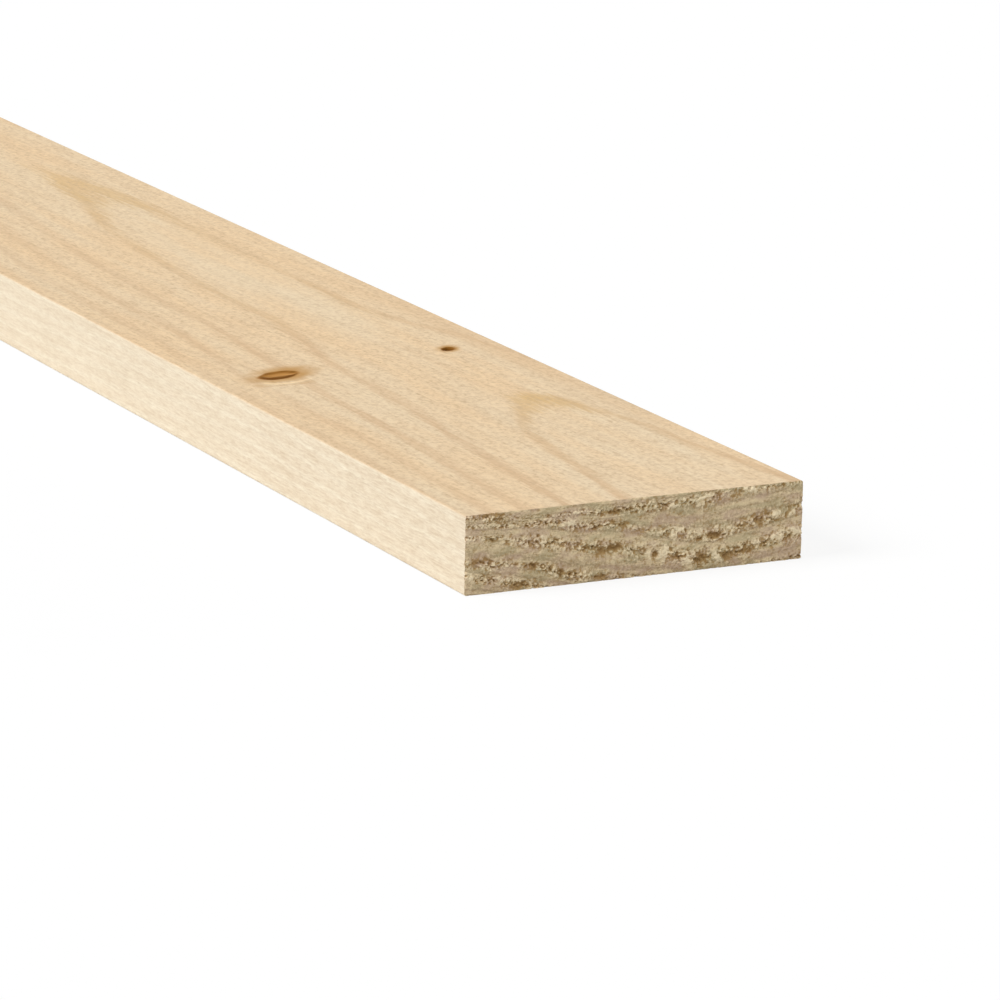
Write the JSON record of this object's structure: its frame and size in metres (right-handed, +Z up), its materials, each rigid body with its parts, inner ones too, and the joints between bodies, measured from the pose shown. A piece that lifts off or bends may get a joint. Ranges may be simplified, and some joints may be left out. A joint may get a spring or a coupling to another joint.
{
  "type": "planed softwood board",
  "caption": "Flat rectangular board of bare planed softwood with square-sawn ends and knots in its upper face, for trim, shelving and framing.",
  "frame": {"origin": "centre of the underside, halfway along the board's length and width", "axes": "+X along the length towards the front sawn end, +Y across the width towards the back edge, +Z up through the thickness"},
  "size_m": [1.2192, 0.0888, 0.0191],
  "materials": {
    "bare_softwood": "matte"
  },
  "bodies": {
    "root": {"board": "bare_softwood"}
  },
  "joints": []
}
